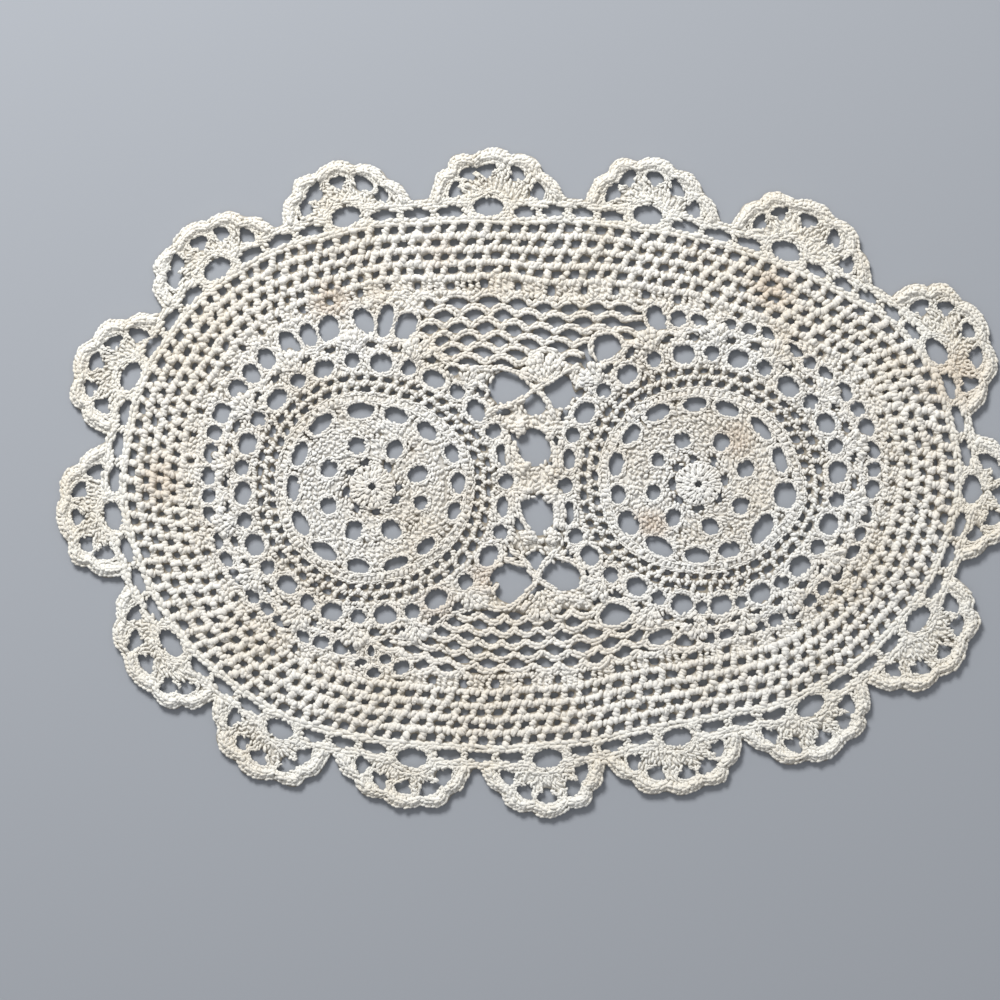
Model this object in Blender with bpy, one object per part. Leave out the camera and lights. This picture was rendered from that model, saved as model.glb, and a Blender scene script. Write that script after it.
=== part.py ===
"""Crocheted oval lace doily: two round medallions joined at the waist, an openwork ground
worked round both of them, and an edging of sixteen fan shells.

Every solid is a flat sheet of crochet lying on the ground plane. Run it in Blender 4.5 with
blender --background --python part.py, or from the text editor.
"""
import math

import bpy

MM = 0.001

# Driving sizes, in millimetres.
THICKNESS = 2.0
GAP = 0.3                       # between neighbouring pieces

MEDALLION_TIP = 47.0            # radius to the tops of the cluster lobes
MEDALLION_VALLEY = 43.2         # radius between two cluster lobes
LOBE_ROUNDNESS = 0.7            # below 1 makes the lobes blunter than a cosine

SQUARE_HOLES = 8                # small holes round the solid middle
SQUARE_RADIUS = 13.8
SQUARE_SIZE = (2.2, 2.2)        # half size along and across the round
SHIELD_RADIUS = 23.6            # holes below the solid ring
SHIELD_SIZE = (3.7, 2.1)
WINDOW_RADIUS = 38.2            # large windows below the cluster lobes
WINDOW_SIZE = (3.4, 2.6)

GROUND_EDGE = -4.9              # outer edge of the ground, from the line of the shell holes
EDGING_EDGE = GROUND_EDGE + GAP
VALLEY_LEVEL = 2.0              # edge of the doily between two shells
SHELL_LOBES = 5
LOBE_NOTCH = 0.1                # depth of the notches between lobes, as a share of the shell
SHOULDER_BEFORE = 0.78          # below 1 fills a shell's shoulder, above 1 slopes it
SHOULDER_AFTER = 1.12
SHELL_HOLE_SIZE = (4.2, 2.9)
SLOT_HALF_HEIGHT = 1.25
SLOT_LEVEL = -2.0
POST_WIDTH = 3.0                # crochet between two holes of the slot round

WAIST_TOP = 15.5                # the ground ends here between the medallions
WAIST_BOTTOM = -16.5

# Medallions: the centre, how far the outer rounds have drifted from it, how much wider than
# high they lie, the first square hole, then the shield holes and the windows, in degrees
# clockwise from the top of the doily. One cluster lobe lies between two windows.
MEDALLIONS = (
    # name, x, y, drift x, drift y, widening, first square hole, shield holes, windows
    ("medallion_left", -47.8, -0.9, 0.0, -0.5, 0.01, 27.0,
     (17, 43, 66, 87, 106, 138, 164, 191, 217, 243, 270, 296, 322, 352),
     (4, 29, 52, 75, 98, 121, 150, 174, 198, 221, 244, 268, 290, 314, 338)),
    ("medallion_right", 47.2, 0.0, 1.2, 0.6, 0.02, 27.0,
     (20, 47, 73, 99, 128, 157, 182, 211, 240, 262, 283, 306, 330, 357),
     (16, 41, 64, 86, 109, 132, 153, 171, 189, 211, 235, 256, 280, 302, 326, 352)),
)

# Shells, clockwise from the top left: the middle of the hole at the base of the shell, the
# reach of its foot towards the shell before and the shell after, its height, and the number
# of slots up to the next shell.
SHELLS = (
    # x, y, reach before, reach after, height, slots after
    (-55.7, 78.2, 16.8, 18.6, 16.3, 3),
    (-14.1, 81.2, 16.1, 21.8, 17.3, 4),
    (33.0, 78.7, 17.6, 19.6, 16.9, 3),
    (73.3, 68.0, 17.0, 24.5, 17.0, 5),
    (117.1, 38.7, 19.5, 19.7, 17.3, 3),
    (127.3, -1.8, 15.0, 19.5, 14.6, 3),
    (111.9, -39.6, 14.8, 22.5, 18.0, 3),
    (80.3, -65.0, 16.2, 21.0, 16.1, 3),
    (41.3, -74.1, 17.9, 21.0, 17.2, 3),
    (3.5, -80.6, 15.8, 19.2, 16.9, 3),
    (-36.6, -80.0, 16.6, 21.0, 15.2, 3),
    (-75.3, -71.5, 16.0, 19.8, 16.4, 3),
    (-106.7, -46.6, 19.0, 20.0, 15.8, 3),
    (-123.9, -9.1, 16.6, 19.9, 16.6, 3),
    (-118.4, 31.4, 17.0, 18.4, 17.4, 3),
    (-93.5, 63.0, 18.0, 19.6, 15.3, 3),
)

# Large gaps between the ground and a medallion, beside the waist.
WAIST_GAPS = (
    # medallion, middle angle, half width in degrees, depth
    ("medallion_left", 53.0, 7.5, 7.5),
    ("medallion_left", 125.5, 8.0, 7.0),
    ("medallion_right", 235.0, 7.0, 6.5),
    ("medallion_right", 303.0, 7.5, 6.0),
)

MATERIALS = {
    # name: colour, roughness
    "cotton_medallion": ((0.72, 0.66, 0.57, 1.0), 0.9),
    "cotton_ground": ((0.70, 0.64, 0.55, 1.0), 0.9),
    "cotton_edging": ((0.75, 0.69, 0.60, 1.0), 0.9),
}


def clear_scene():
    for thing in list(bpy.data.objects):
        bpy.data.objects.remove(thing, do_unlink=True)


def on_round(medallion, radius, degrees):
    """Point on a round of a medallion, at an angle clockwise from the top."""
    name, x, y, drift_x, drift_y, widening, *holes = medallion
    angle = math.radians(degrees)
    share = radius / WINDOW_RADIUS
    return (x + drift_x * share + (1.0 + widening) * radius * math.sin(angle),
            y + drift_y * share + (1.0 - widening) * radius * math.cos(angle))


def ellipse(x, y, half_width, half_height, degrees, steps):
    """Closed ellipse whose height points at an angle clockwise from the top."""
    turn = math.radians(degrees)
    points = []
    for step in range(steps):
        angle = 2.0 * math.pi * step / steps
        along = half_width * math.cos(angle)
        out = half_height * math.sin(angle)
        points.append((x + along * math.cos(turn) + out * math.sin(turn),
                       y - along * math.sin(turn) + out * math.cos(turn)))
    return points


def base_line(position):
    """Point and outward direction on the smooth line through the shell holes.

    The position counts shells, so 2.5 is halfway between the third and the fourth.
    """
    start = math.floor(position)
    share = position - start
    rows = [SHELLS[(start + k) % len(SHELLS)][:2] for k in (-1, 0, 1, 2)]
    spans = [math.dist(rows[k], rows[k + 1]) for k in range(3)]
    point = []
    slope = []
    for a, b, c, d in zip(*rows):
        before, here, after = ((b - a) / spans[0], (c - b) / spans[1], (d - c) / spans[2])
        leave = spans[1] * (before * spans[1] + here * spans[0]) / (spans[0] + spans[1])
        arrive = spans[1] * (here * spans[2] + after * spans[1]) / (spans[1] + spans[2])
        square = 3.0 * (c - b) - 2.0 * leave - arrive
        cube = 2.0 * (b - c) + leave + arrive
        point.append(b + leave * share + square * share ** 2 + cube * share ** 3)
        slope.append(leave + 2.0 * square * share + 3.0 * cube * share ** 2)
    length = math.hypot(*slope)
    return point, (-slope[1] / length, slope[0] / length)


def beside_base_line(position, out):
    (x, y), (out_x, out_y) = base_line(position)
    return (x + out * out_x, y + out * out_y)


def shell_spacing(index):
    """Length of the base line from one shell hole to the next."""
    return math.dist(SHELLS[index % len(SHELLS)][:2], SHELLS[(index + 1) % len(SHELLS)][:2])


def shell_outline(index, steps_per_lobe=5):
    """Outer edge of one shell from foot to foot, five lobes on a half ellipse."""
    x, y, before, after, height, slots = SHELLS[index]
    middle = (after - before) / 2.0
    half_width = (after + before) / 2.0
    points = []
    steps = SHELL_LOBES * steps_per_lobe
    for step in range(steps + 1):
        fan = math.pi * (step / steps - 0.5)
        notch = 1.0 - LOBE_NOTCH * (1.0 - abs(math.sin(SHELL_LOBES * (fan + math.pi / 2.0))))
        shoulder = SHOULDER_AFTER if fan > 0.0 else SHOULDER_BEFORE
        wide = math.copysign(abs(math.sin(fan)) ** shoulder, fan)
        high = abs(math.cos(fan)) ** shoulder
        along = middle + half_width * notch * wide
        out = VALLEY_LEVEL + (height - VALLEY_LEVEL) * notch * high
        spacing = shell_spacing(index) if along > 0.0 else shell_spacing(index - 1)
        points.append(beside_base_line(index + along / spacing, out))
    return points


def doily_outline():
    points = []
    for index in range(len(SHELLS)):
        points.extend(shell_outline(index))
    return points


def base_line_loop(out, steps_per_shell=8):
    """Closed line beside the base line, further out or in by a fixed amount."""
    steps = steps_per_shell * len(SHELLS)
    return [beside_base_line(step / steps_per_shell, out) for step in range(steps)]


def hole_beside_base_line(position, out, half_width, half_height, steps):
    out_x, out_y = base_line(position)[1]
    facing = math.degrees(math.atan2(out_x, out_y))
    return ellipse(*beside_base_line(position, out), half_width, half_height, facing, steps)


def edging_holes():
    """The half-round hole of each shell and the slots between it and the next."""
    holes = []
    shell_half, shell_high = SHELL_HOLE_SIZE
    for index, (*sizes, slots) in enumerate(SHELLS):
        holes.append(hole_beside_base_line(index, 0.0, shell_half, shell_high, 12))
        run = shell_spacing(index) - 2.0 * shell_half - POST_WIDTH
        for slot in range(slots):
            along = shell_half + POST_WIDTH / 2.0 + run * (slot + 0.5) / slots
            position = index + along / shell_spacing(index)
            half_width = (run / slots - POST_WIDTH) / 2.0
            holes.append(hole_beside_base_line(position, SLOT_LEVEL, half_width,
                                               SLOT_HALF_HEIGHT, 8))
    return holes


def cluster_lobes(medallion):
    """Middle and half width of each cluster lobe, in degrees."""
    windows = medallion[-1]
    lobes = []
    for this, following in zip(windows, (*windows[1:], windows[0] + 360)):
        lobes.append(((this + following) / 2.0, (following - this) / 2.0))
    return lobes


def medallion_outline(medallion, steps_per_lobe=8):
    """Round of cluster lobes."""
    points = []
    for middle, half in cluster_lobes(medallion):
        for step in range(steps_per_lobe):
            share = 2.0 * step / steps_per_lobe - 1.0
            bulge = math.cos(share * math.pi / 2.0) ** LOBE_ROUNDNESS
            radius = MEDALLION_VALLEY + (MEDALLION_TIP - MEDALLION_VALLEY) * bulge
            points.append(on_round(medallion, radius, middle + half * share))
    return points


def ring_of_holes(medallion, radius, size, angles, steps):
    holes = []
    for degrees in angles:
        holes.append(ellipse(*on_round(medallion, radius, degrees), *size, degrees, steps))
    return holes


def medallion_holes(medallion):
    first_square, shields, windows = medallion[-3:]
    squares = [first_square + 360.0 * k / SQUARE_HOLES for k in range(SQUARE_HOLES)]
    return (ring_of_holes(medallion, SQUARE_RADIUS, SQUARE_SIZE, squares, 8)
            + ring_of_holes(medallion, SHIELD_RADIUS, SHIELD_SIZE, shields, 8)
            + ring_of_holes(medallion, WINDOW_RADIUS, WINDOW_SIZE, windows, 8))


def waist_gap_depth(name, degrees):
    """How far the ground stands back from a medallion at an angle."""
    for gap_name, middle, half, depth in WAIST_GAPS:
        share = ((degrees - middle + 180.0) % 360.0 - 180.0) / half
        if gap_name == name and abs(share) < 1.0:
            return depth * math.sqrt(1.0 - share ** 2)
    return 0.0


def ground_inner_edge(steps_per_side=90):
    """Closed line just outside both medallions, straight across the waist."""
    radius = MEDALLION_TIP + 1.2 * GAP
    points = []
    for medallion, side in zip(MEDALLIONS, (1.0, -1.0)):
        middle = on_round(medallion, radius, 90.0)[1]
        high = on_round(medallion, radius, 0.0)[1] - middle
        top = math.degrees(math.acos((WAIST_TOP - middle) / high))
        bottom = math.degrees(math.acos((WAIST_BOTTOM - middle) / high))
        # Round the outer side: up on the left medallion, down on the right one.
        start, end = (bottom, 360.0 + top) if side > 0.0 else (-top, 360.0 - bottom)
        for step in range(steps_per_side + 1):
            degrees = start + (end - start) * step / steps_per_side
            depth = waist_gap_depth(medallion[0], degrees)
            points.append(on_round(medallion, radius + depth, degrees))
    return points


def flat_piece(name, outline, holes, material, collection, centre):
    """Sheet of the doily's thickness with an outline and holes, lying on the ground plane."""
    curve = bpy.data.curves.new(name, "CURVE")
    curve.dimensions = "2D"
    curve.fill_mode = "BOTH"
    curve.extrude = THICKNESS / 2.0 * MM
    for loop in [outline, *holes]:
        spline = curve.splines.new("POLY")
        spline.points.add(len(loop) - 1)
        for point, (x, y) in zip(spline.points, loop):
            point.co = ((x - centre[0]) * MM, (y - centre[1]) * MM, 0.0, 1.0)
        spline.use_cyclic_u = True
    curve.materials.append(material)
    piece = bpy.data.objects.new(name, curve)
    piece.location.z = THICKNESS / 2.0 * MM
    collection.objects.link(piece)
    return piece


def make_material(name):
    colour, roughness = MATERIALS[name]
    material = bpy.data.materials.new(name)
    material.use_nodes = True
    shader = material.node_tree.nodes["Principled BSDF"]
    shader.inputs["Base Color"].default_value = colour
    shader.inputs["Roughness"].default_value = roughness
    shader.inputs["Metallic"].default_value = 0.0
    return material


def middle_of(points):
    """Middle of the box round a list of points."""
    xs = [x for x, y in points]
    ys = [y for x, y in points]
    return ((min(xs) + max(xs)) / 2.0, (min(ys) + max(ys)) / 2.0)


def main():
    clear_scene()
    collection = bpy.data.collections.new("lace_doily")
    bpy.context.scene.collection.children.link(collection)
    materials = {name: make_material(name) for name in MATERIALS}
    outline = doily_outline()
    centre = middle_of(outline)

    for medallion in MEDALLIONS:
        flat_piece(medallion[0], medallion_outline(medallion), medallion_holes(medallion),
                   materials["cotton_medallion"], collection, centre)

    flat_piece("lace_ground", base_line_loop(GROUND_EDGE), [ground_inner_edge()],
               materials["cotton_ground"], collection, centre)
    flat_piece("shell_edging", outline, [base_line_loop(EDGING_EDGE), *edging_holes()],
               materials["cotton_edging"], collection, centre)


main()
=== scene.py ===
"""Looks of the crocheted oval lace doily: every stitch of its rounds as yarn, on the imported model.

The doily is worked stitch by stitch in its own plan, in millimetres, and laid down with the
middle of its plan on the frame's origin. Angles are degrees clockwise from the top of the doily.
"""

import math

import bpy
import numpy as np
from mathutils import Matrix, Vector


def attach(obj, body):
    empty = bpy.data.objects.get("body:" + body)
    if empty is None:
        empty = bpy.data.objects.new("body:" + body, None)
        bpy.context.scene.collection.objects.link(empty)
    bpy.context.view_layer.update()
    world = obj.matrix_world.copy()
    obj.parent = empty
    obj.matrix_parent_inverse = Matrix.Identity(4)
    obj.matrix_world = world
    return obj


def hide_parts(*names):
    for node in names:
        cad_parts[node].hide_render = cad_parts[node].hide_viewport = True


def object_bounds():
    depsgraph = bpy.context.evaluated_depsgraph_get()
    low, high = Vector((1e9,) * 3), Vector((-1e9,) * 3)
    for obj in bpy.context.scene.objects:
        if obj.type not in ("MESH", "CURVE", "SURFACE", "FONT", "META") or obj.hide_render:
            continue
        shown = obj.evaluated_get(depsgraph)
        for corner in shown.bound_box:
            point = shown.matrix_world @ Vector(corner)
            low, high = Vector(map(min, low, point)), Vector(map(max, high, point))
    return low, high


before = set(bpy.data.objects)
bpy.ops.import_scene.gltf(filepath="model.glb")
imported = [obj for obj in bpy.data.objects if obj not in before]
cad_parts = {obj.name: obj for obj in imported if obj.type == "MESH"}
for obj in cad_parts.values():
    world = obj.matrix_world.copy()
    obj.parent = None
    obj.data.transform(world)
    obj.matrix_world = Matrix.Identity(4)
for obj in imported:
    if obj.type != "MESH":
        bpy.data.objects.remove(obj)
cad_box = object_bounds()

MM = 0.001
SEED = 7
chance = np.random.default_rng(SEED)

# Yarn and stitches, in millimetres. A leg is one strand of a stitch, as far as it shows.
YARN = 0.25                     # radius of a strand, as a share of what it is wound round
STITCH = 0.92                   # from one stitch to the next along a cord
CHAIN_PITCH = 0.66              # the same in a chain, as a share of its width
RIGHT_SHARE = 0.22              # of the strands, which slant to the right
LEG_LEVEL = 1.2                 # height of the legs
LEG_SIDES = 5
LEG_BENDS = (0.2, 0.8)          # shares of a leg where its two rings of corners lie
JITTER = 0.2                    # how far a leg strays from its place
FILL_PITCH = 1.35               # between stitches that lie every way
CELL = 0.66                     # size of a face of the cloth under the stitches
CLOTH_LEVELS = (0.35, 0.85, 1.05)       # its height at an edge, one face in, and deeper in
SPOT_PITCH = 0.6 * CELL         # between the spots round which the cloth lies

# How the doily lies, in millimetres.
LIE_SHIFT = 0.25                # sideways
LIE_WAVE = 0.11                 # up and down
LIE_LEVEL = 0.25
LIE_LOWEST = 0.02               # over the floor

# Openings are ovals, a little squarer than an ellipse.
OPENING_POWER = 2.3
CLOTH_CLEAR = 0.3               # from an opening to the cloth
MIDDLE_CLEAR = 0.12             # and to the middle of a leg
END_CLEAR = -0.2                # the end of a leg may reach in by this much

# Edging and rounds of the oval, measured outwards from the line through the shell holes.
VALLEY_LEVEL = 2.0              # edge of the doily between two shells
SHELL_LOBES = 5
LOBE_STEPS = 18                 # points along a lobe
LOBE_NOTCH = 0.115              # depth of the notches between lobes, as a share of the shell
EVEN_NOTCH = 0.4                # share of that by which an edge without lobes lies inside
SHOULDER_BEFORE = 0.78          # below 1 fills a shell's shoulder, above 1 slopes it
SHOULDER_AFTER = 1.12
SHELL_HOLE_SIZE = (4.4, 2.7)
SHELL_HOLE_OUT = -0.2           # of its middle
HOLE_CHAINS = (                 # chains round it: distance from it, width
    (0.75, 1.5),
    (1.9, 1.9),
)
FAN_FOOT = 1.8                  # from the hole to the feet of the trebles
FAN_TREBLES = 27
SLOT_HALF_HEIGHT = 1.6
POST_WIDTH = 3.4                # crochet between two openings of the slot round
POST_TREBLES = (-1.6, -0.5, 0.5, 1.6)   # places of its trebles
RIM_WIDTH = 4.3
RIM_CHAINS = (                  # chains on the rim: share of its width, level
    (0.19, 0.0),
    (0.5, 0.7),
    (0.81, 0.0),
)
LOBE_HOLE = (3.0, 1.35)         # half sizes of the hole under each lobe
SLOT_CORDS = (-4.4, 1.2)        # the two cords of the slot round
MESH_CORDS = (-4.4, -8.5, -12.5, -16.5, -20.6)
BAND_CORD = -25.0
OVAL_REPEATS = 65               # groups of trebles in the band, with two mesh cells for each
SAG = (0.098, 0.035, -1.8)      # share of the oval, half width and depth of a dip inwards
SAG_RANGE = (8.0, 24.0)         # how far inwards it sets in

# Rounds of a medallion, as radii.
DISC_HOLE = 1.2
DISC_EDGE = 6.4
DISC_RINGS = (                  # inner and outer radius, plaits, level
    (1.6, 4.0, 9, 0.4),
    (3.7, 6.6, 18, 0.25),
)
PETAL_RADII = (7.2, 10.9)
NOTCH_RADIUS = 7.6
NOTCH_HOLE = (1.5, 1.0)         # half sizes along and across the round
SQUARE_RADII = (11.4, 16.3)
SQUARE_EDGE = 17.0
SHIELD_RADII = (17.7, 20.6)
SHIELD_POSTS = 84
RING_INNER = 25.2
RING_OUTER = 28.2
NET_CORDS = (28.2, 31.4, 34.9)
NET_POSTS = 48
WINDOW_RADIUS = 38.2
WINDOW_HOLE = (3.1, 2.7)
WAIST_WINDOW = (3.4, 1.7)       # where the medallions are pressed together,
PRESSED_REACH = 25.0            # which is so many degrees each way
SMALL_WINDOW = 2.2
BAND_RADIUS = 41.5
SLIT_RADIUS = 43.1
SLIT_SIDES = (-5.0, 5.0)        # degrees from the middle of a window
SLIT_HOLE = (1.7, 0.7)
CLUSTER_RADIUS = 47.9
LOOP_LOW = 44.3                 # chain from cluster to cluster, over a window
LOOP_HIGH = 46.0                # and beside a cluster
WAIST_REACH = 38.0              # degrees of a medallion, each way, that face the other one
TREBLE_HOLES = (                # openings outside each window: angle, turn, half sizes
    (-7.1, -18.0, 2.75, 3.0),
    (0.0, 0.0, 2.35, 3.2),
    (7.1, 18.0, 2.75, 3.0),
)
TREBLE_FOOT = 45.9              # where these openings start
TREBLE_BOX = (70.0, 65.0)       # half sizes of a box round them
TREBLE_MARGIN = 7.0             # degrees of cloth before the first and after the last

# Chain loops above and below the waist, like fish scales: shares of the oval where the row
# starts and ends, and how far out the row lies at its start and its end. A row stops where it
# meets a medallion.
LOOP_ROWS = (
    (-0.010, 0.168, -28.4, -27.8),
    (-0.006, 0.166, -32.2, -31.6),
    (0.004, 0.162, -36.0, -35.5),
    (0.010, 0.152, -39.7, -39.4),
    (0.020, 0.142, -43.2, -43.2),
    (0.030, 0.127, -46.4, -46.8),
    (0.482, 0.672, -27.6, -34.0),
    (0.482, 0.672, -31.4, -36.8),
    (0.482, 0.672, -35.2, -39.6),
    (0.488, 0.668, -39.0, -42.4),
    (0.494, 0.660, -42.8, -45.2),
    (0.612, 0.684, -27.6, -27.4),
    (0.626, 0.680, -31.2, -31.0),
)
LOOPS_PER_TURN = 74             # of the oval; a row is half a loop on from the one before it
LOOP_RISE = 3.0                 # of a loop over the points where it hangs

# Cords of the waist: points from end to end.
CURVE_STEPS = 8                 # from one point of a cord to the next
WAIST_CORDS = (
    ((-20.5, 34.1), (-13.8, 33.9), (-10.5, 34.3), (-5.8, 32.8), (-2.6, 30.4), (-0.2, 27.8),
     (2.9, 24.8), (4.6, 22.0), (5.8, 19.0)),
    ((-14.5, 20.6), (-12.0, 22.2), (-8.8, 22.6), (-5.6, 23.8), (-2.5, 25.6), (-0.3, 27.4),
     (3.1, 29.4), (6.0, 31.2), (9.6, 34.4)),
    ((-7.6, -19.6), (-3.8, -22.0), (-2.0, -24.7), (-0.3, -27.0), (2.7, -29.0), (6.0, -31.4),
     (9.4, -33.4), (14.0, -34.1)),
    ((5.6, -19.4), (3.8, -21.4), (1.5, -24.3), (0.0, -26.7), (-1.2, -30.0), (-3.4, -32.5),
     (-5.6, -34.9), (-8.2, -36.2), (-11.4, -36.6), (-15.0, -35.4)),
    ((6.1, -21.0), (10.1, -22.4), (12.9, -24.4), (13.9, -27.0), (13.0, -31.0)),
    ((-9.0, -22.2), (-6.5, -23.0), (-3.4, -23.4)),
    ((-8.5, 14.0), (-8.5, 10.2), (-8.3, 7.6), (-7.4, 4.6)),
    ((-6.6, 12.0), (-6.6, 9.4), (-4.6, 7.0), (-3.2, 5.2)),
    ((4.4, 12.0), (5.4, 9.4), (5.2, 7.0), (5.4, 4.4)),
    ((7.4, 12.4), (6.9, 9.0), (6.9, 6.1), (7.2, 3.0)),
    ((-6.9, -2.6), (-6.9, -5.5), (-7.0, -8.2), (-7.2, -11.9)),
    ((-5.0, -4.2), (-5.2, -6.6), (-3.8, -10.2), (-1.6, -13.2)),
    ((5.0, -4.6), (6.3, -8.0), (6.0, -10.4), (6.0, -13.0)),
    ((6.9, -3.7), (7.8, -6.4), (8.1, -9.3), (7.8, -13.0)),
)

# Gaps of the waist: middle, lean in degrees, half sizes.
WAIST_GAPS = (
    (-7.3, 28.4, -8.0, 6.3, 4.8),
    (6.7, 27.0, 0.0, 3.9, 4.9),
    (-0.2, 23.0, 0.0, 3.0, 3.0),
    (-0.8, 10.4, 0.0, 4.9, 5.2),
    (0.3, -9.0, 0.0, 4.7, 5.6),
    (-6.2, 7.2, 155.0, 0.7, 1.7),
    (-5.4, -12.0, 155.0, 0.7, 1.5),
    (-7.6, 13.8, 175.0, 0.5, 1.5),
    (6.2, 12.6, 155.0, 0.7, 1.7),
    (6.6, -5.8, 170.0, 0.5, 2.0),
    (-9.8, 21.0, 5.0, 2.1, 0.8),
    (10.6, -16.8, 160.0, 2.5, 1.1),
    (-6.9, -20.6, 0.0, 1.9, 1.1),
    (0.0, -22.3, 0.0, 3.2, 2.5),
    (-7.1, -29.0, 30.0, 5.4, 5.5),
    (7.5, -27.0, 10.0, 5.7, 4.2),
    (0.3, -31.2, 0.0, 2.0, 1.7),
    (16.6, 34.9, 15.0, 2.9, 1.7),
)
# Gaps with a rim, among the chain loops: middle, lean in degrees, half sizes, width of the rim.
LOOP_GAPS = (
    (20.9, 39.9, 0.0, 4.1, 3.9, 2.0),
    (23.3, -37.6, -20.0, 4.8, 3.1, 2.0),
    (36.4, -44.9, -20.0, 3.8, 2.0, 2.0),
    (-39.6, -53.6, -15.0, 2.4, 1.9, 1.6),
    (-44.2, -51.0, 0.0, 1.7, 1.4, 1.2),
    (-47.7, -54.9, -5.0, 2.1, 1.4, 1.2),
    (-51.5, -52.3, -15.0, 2.0, 1.0, 1.2),
    (-48.3, -48.8, 10.0, 1.1, 1.4, 1.1),
    (-53.3, -48.0, 10.0, 1.4, 2.0, 1.2),
)

# Bobbles and clusters of the waist: foot, direction, length, lobes, spread.
WAIST_PUFFS = (
    (2.8, 28.6, -14.0, 9.8, 5, 84.0),
    (0.9, -30.8, 165.0, 9.4, 5, 100.0),
    (-7.2, 16.4, 100.0, 4.6, 2, 34.0),
    (6.2, 16.0, 245.0, 4.8, 2, 34.0),
    (-6.8, 6.2, 118.0, 5.6, 2, 26.0),
    (-6.6, -1.4, 108.0, 5.4, 2, 26.0),
    (6.6, 3.9, 262.0, 4.6, 2, 26.0),
    (6.6, -2.8, 260.0, 5.0, 2, 26.0),
    (-5.0, -15.2, 86.0, 5.4, 2, 30.0),
    (7.6, -15.2, 272.0, 4.8, 2, 30.0),
)
WAIST_BOX = ((-17.0, -36.0), (16.0, 34.0))      # corners of what is filled

# place: middle; drift: of the outer rounds; widening: how much wider than high it lies;
# waist: the side that faces the other medallion;
# trebles: where the cloth round it starts and ends;
# notches: middles of the gaps between the petals;
# squares: holes of the next round, by middle, radius and half sizes along and out;
# shields: middle, half width, inner radius, rise of the ring there;
# windows: middle, rise of the round there.
MEDALLIONS = {
    "medallion_left": {
        "place": (-47.8, -0.9), "drift": (0.0, -0.5), "widening": 0.01,
        "waist": 90.0, "trebles": (185.0, 8.0),
        "notches": (35, 87, 118, 170, 215, 258, 302, 342),
        "squares": (
            (29, 13.0, 2.2, 2.6), (73, 13.9, 2.0, 2.8), (107, 14.6, 1.8, 1.9),
            (157, 13.7, 2.4, 2.9), (203, 13.6, 2.3, 2.5), (248, 13.7, 2.3, 2.1),
            (293, 14.0, 2.2, 2.3), (339, 13.2, 2.4, 2.3)),
        "shields": (
            (17, 8.8, 20.5, -0.4), (43, 8.5, 20.8, -0.3), (66, 7.0, 22.6, 1.5),
            (87, 7.5, 22.3, 1.6), (106, 5.8, 22.3, 0.9), (138, 8.0, 21.2, -0.5),
            (164, 10.0, 21.8, -0.1), (191, 8.5, 21.2, 0.2), (217, 9.5, 21.0, 0.1),
            (243, 9.5, 21.2, 0.0), (270, 10.0, 21.5, 0.0), (296, 8.8, 21.2, 0.3),
            (322, 10.0, 21.5, 0.6), (352, 10.0, 20.8, 0.3)),
        "windows": (
            (4, -1.0), (29, -1.6), (52, -0.3), (75, 0.6), (98, -0.1), (121, 0.7), (150, -0.9),
            (174, -0.8), (198, -0.2), (221, -0.4), (244, -0.6), (268, -0.5), (290, 0.1),
            (314, 0.2), (338, -0.1)),
    },
    "medallion_right": {
        "place": (47.2, 0.0), "drift": (1.2, 0.6), "widening": 0.02,
        "waist": 270.0, "trebles": (350.0, 175.0),
        "notches": (33, 80, 123, 178, 229, 268, 310, 348),
        "squares": (
            (27, 13.6, 2.2, 2.3), (73, 14.0, 2.2, 2.4), (118, 13.8, 2.3, 2.2),
            (165, 13.4, 2.1, 2.4), (215, 12.6, 1.9, 2.4), (258, 13.5, 1.9, 1.9),
            (300, 13.5, 1.8, 1.8), (340, 13.8, 2.1, 2.2)),
        "shields": (
            (20, 8.5, 21.2, 0.0), (47, 9.8, 21.8, 0.3), (73, 10.0, 21.8, 0.5),
            (99, 10.0, 20.8, 2.6), (128, 12.0, 19.9, -0.2), (157, 8.3, 19.6, -1.4),
            (182, 9.0, 19.9, -0.9), (211, 11.0, 19.9, -0.8), (240, 9.5, 20.5, 1.2),
            (262, 6.5, 21.4, 0.9), (283, 8.0, 22.0, 1.4), (306, 8.0, 21.7, 0.8),
            (330, 9.5, 21.7, 0.9), (357, 8.5, 21.4, 0.4)),
        "windows": (
            (16, -0.2), (41, -0.3), (64, 1.0), (86, 1.0), (109, 0.0), (132, -0.4), (153, -0.9),
            (171, -1.4), (189, -1.2), (211, -2.1), (235, 0.7), (256, 0.9), (280, 0.5),
            (302, 1.0), (326, 0.2), (352, 0.2)),
    },
}
OUTER_DRIFT = 1.1               # share of the drift among the outer rounds
RING_SHIFT = (18.0, 25.0)       # radii between which the rise of the ring sets in
WINDOW_SHIFT = (28.0, 38.0)     # and between which that of the windows takes its place

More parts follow.
